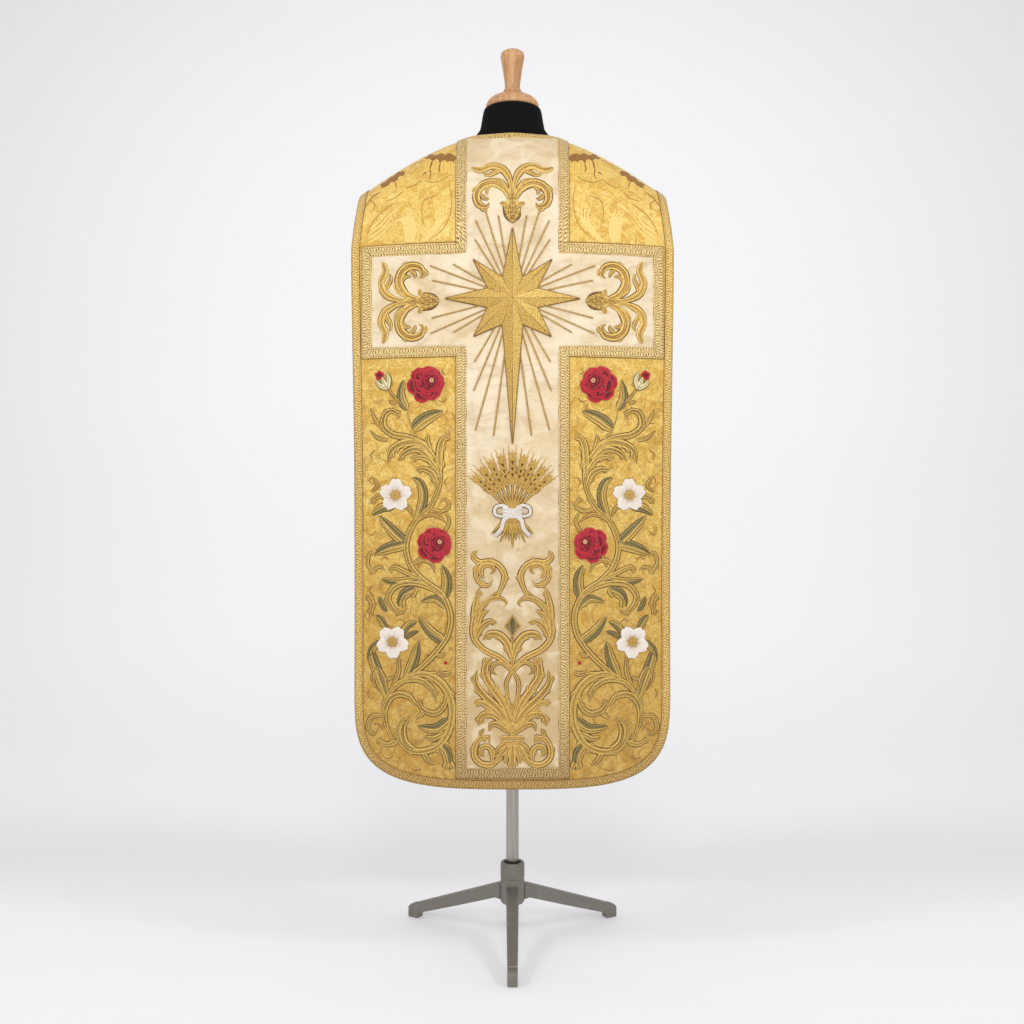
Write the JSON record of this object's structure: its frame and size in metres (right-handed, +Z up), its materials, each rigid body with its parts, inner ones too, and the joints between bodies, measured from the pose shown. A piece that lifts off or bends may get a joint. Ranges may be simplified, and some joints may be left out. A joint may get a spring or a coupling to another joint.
{
  "type": "fiddleback chasuble on dress form",
  "caption": "Sleeveless church vestment with a braided cross, star and vine embroidery, resting on a limbless dress form with a three-legged stand.",
  "frame": {"origin": "centre of the footprint's bounding box, on the floor", "axes": "+Z up, -Y out of the garment's back, which carries the cross, +Y out of its front, +X to the right seen from behind"},
  "size_m": [0.538, 0.3496, 1.551],
  "materials": {
    "damask": "woven gold damask with a soft sheen",
    "satin": "cream satin",
    "braid": "woven gold and cream braid",
    "gold_thread": "raised gold thread",
    "rose_silk": "crimson silk",
    "white_silk": "white silk",
    "jersey": "matt black jersey",
    "beech": "clear varnish",
    "steel": "brushed",
    "cast_iron": "grey metallic paint"
  },
  "bodies": {
    "root": {"back_panel": "damask", "front_panel": "damask", "back_cross": "satin", "front_column": "satin", "back_cross_braid": "braid", "front_column_braid": "braid", "back_edge_braid": "braid", "front_edge_braid": "braid", "neck_braid": "braid", "palmette_top": "gold_thread", "palmette_right": "gold_thread", "palmette_left": "gold_thread", "foot_foliage": "gold_thread", "wheat_sheaf": "gold_thread", "vine_right": "gold_thread", "vine_left": "gold_thread", "star": "gold_thread", "rose_upper_right": "rose_silk", "rose_lower_right": "rose_silk", "rose_upper_left": "rose_silk", "rose_lower_left": "rose_silk", "bud_right": "rose_silk", "bud_left": "rose_silk", "white_upper_right": "white_silk", "white_lower_right": "white_silk", "white_upper_left": "white_silk", "white_lower_left": "white_silk", "bust": "jersey", "neck_cap": "beech", "finial": "beech", "pole": "steel", "hub": "cast_iron", "leg_back": "cast_iron", "leg_right": "cast_iron", "leg_left": "cast_iron"}
  },
  "joints": []
}
